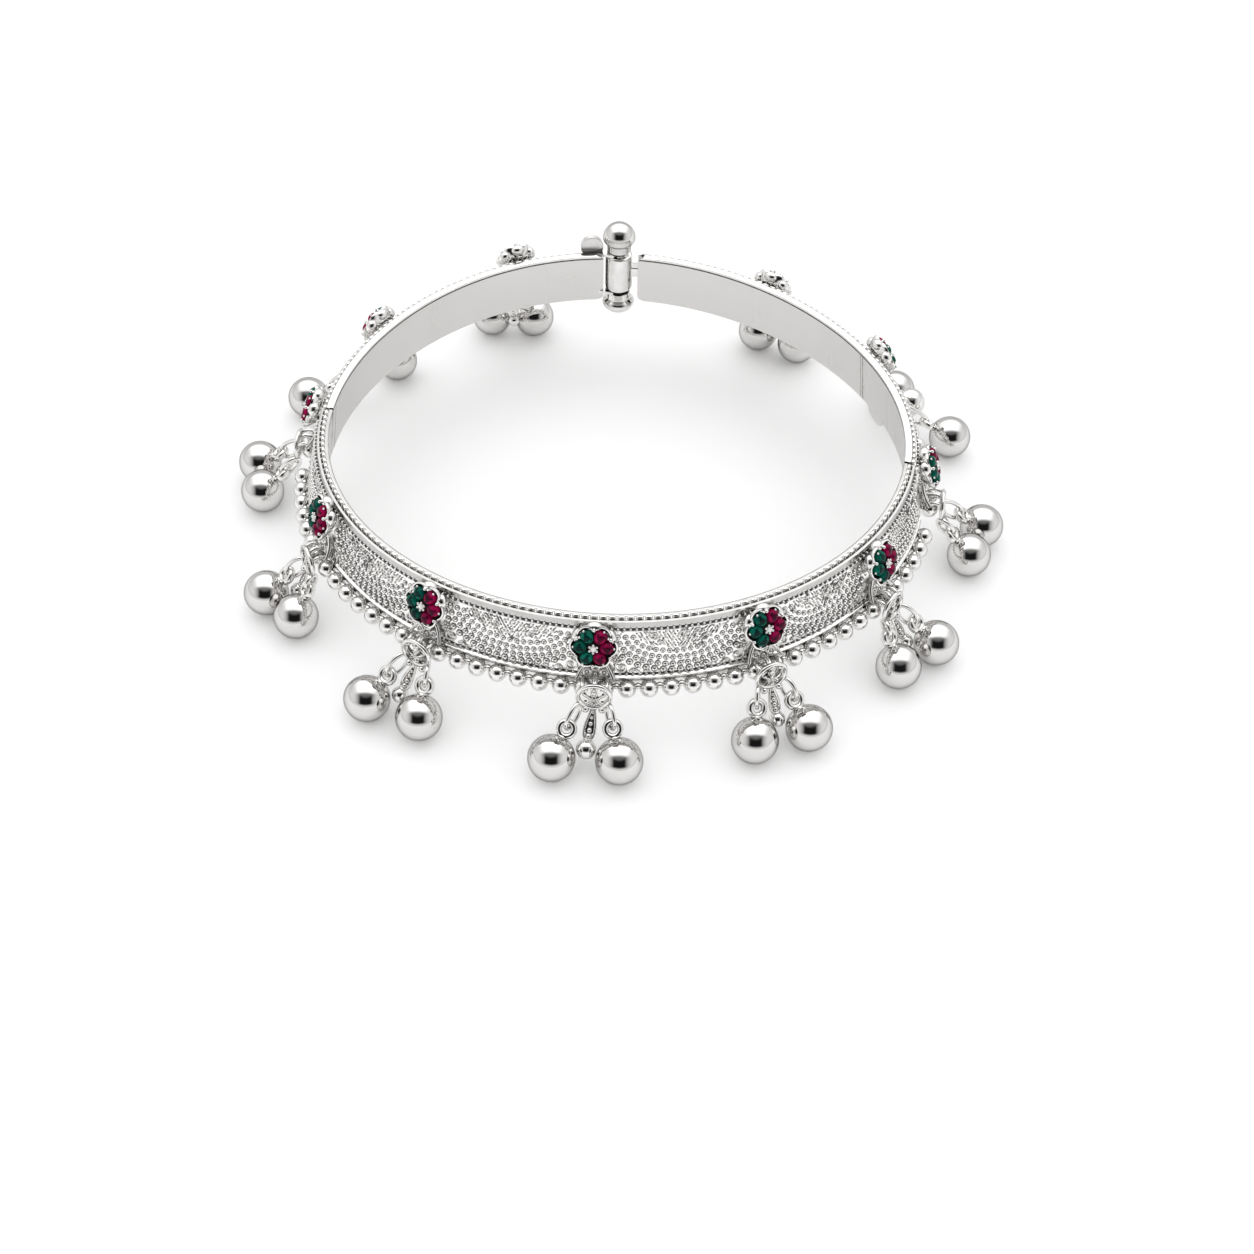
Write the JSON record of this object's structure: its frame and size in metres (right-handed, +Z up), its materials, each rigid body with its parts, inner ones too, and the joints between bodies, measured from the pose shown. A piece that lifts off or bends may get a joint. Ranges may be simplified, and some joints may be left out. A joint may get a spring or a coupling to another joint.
{
  "type": "payal anklet",
  "caption": "Stiff hinged silver anklet with a flared beaded band, stone-set flowers, pairs of jingle balls on rings below them and a screw-pin clasp at the back.",
  "frame": {"origin": "on the axis of the loop, at the height of the surface that the balls rest on", "axes": "+Z up along the loop's axis, -Y to the front of the loop, +Y to the clasp, +X to the right seen from the front"},
  "size_m": [0.1092, 0.1006, 0.0231],
  "materials": {
    "silver": "polished, worn bright on the beads and darkened in the recesses",
    "polished_silver": "mirror polished",
    "plain_silver": "satin",
    "stone_setting": "faceted green, magenta and clear stones in a silver collar"
  },
  "bodies": {
    "front": {"band_front": "silver", "hinge_pin_left": "plain_silver", "hinge_pin_right": "plain_silver", "flower_setting_01": "stone_setting", "hanger_01": "silver", "ball_01_a": "polished_silver", "ball_01_b": "polished_silver", "flower_setting_02": "stone_setting", "hanger_02": "silver", "ball_02_a": "polished_silver", "ball_02_b": "polished_silver", "flower_setting_03": "stone_setting", "hanger_03": "silver", "ball_03_a": "polished_silver", "ball_03_b": "polished_silver", "flower_setting_10": "stone_setting", "hanger_10": "silver", "ball_10_a": "polished_silver", "ball_10_b": "polished_silver", "flower_setting_11": "stone_setting", "hanger_11": "silver", "ball_11_a": "polished_silver", "ball_11_b": "polished_silver"},
    "arm_left": {"band_rear_left": "silver", "flower_setting_07": "stone_setting", "hanger_07": "silver", "ball_07_a": "polished_silver", "ball_07_b": "polished_silver", "flower_setting_08": "stone_setting", "hanger_08": "silver", "ball_08_a": "polished_silver", "ball_08_b": "polished_silver", "flower_setting_09": "stone_setting", "hanger_09": "silver", "ball_09_a": "polished_silver", "ball_09_b": "polished_silver"},
    "arm_right": {"band_rear_right": "silver", "flower_setting_04": "stone_setting", "hanger_04": "silver", "ball_04_a": "polished_silver", "ball_04_b": "polished_silver", "flower_setting_05": "stone_setting", "hanger_05": "silver", "ball_05_a": "polished_silver", "ball_05_b": "polished_silver", "flower_setting_06": "stone_setting", "hanger_06": "silver", "ball_06_a": "polished_silver", "ball_06_b": "polished_silver"},
    "pin": {"clasp_pin": "polished_silver"}
  },
  "joints": [
    {"name": "hinge_left", "type": "hinge", "parent": "front", "child": "arm_left", "pos_m": [-0.04073, 0.00135, 0.014], "axis": [0, 0, 1], "range_deg": [0, 40]},
    {"name": "hinge_right", "type": "hinge", "parent": "front", "child": "arm_right", "pos_m": [0.04045, -0.00822, 0.014], "axis": [0, 0, -1], "range_deg": [0, 40]},
    {"name": "clasp_pin_lift", "type": "slide", "parent": "arm_right", "child": "pin", "axis": [0, 0, 1], "range_m": [0, 0.01]}
  ]
}
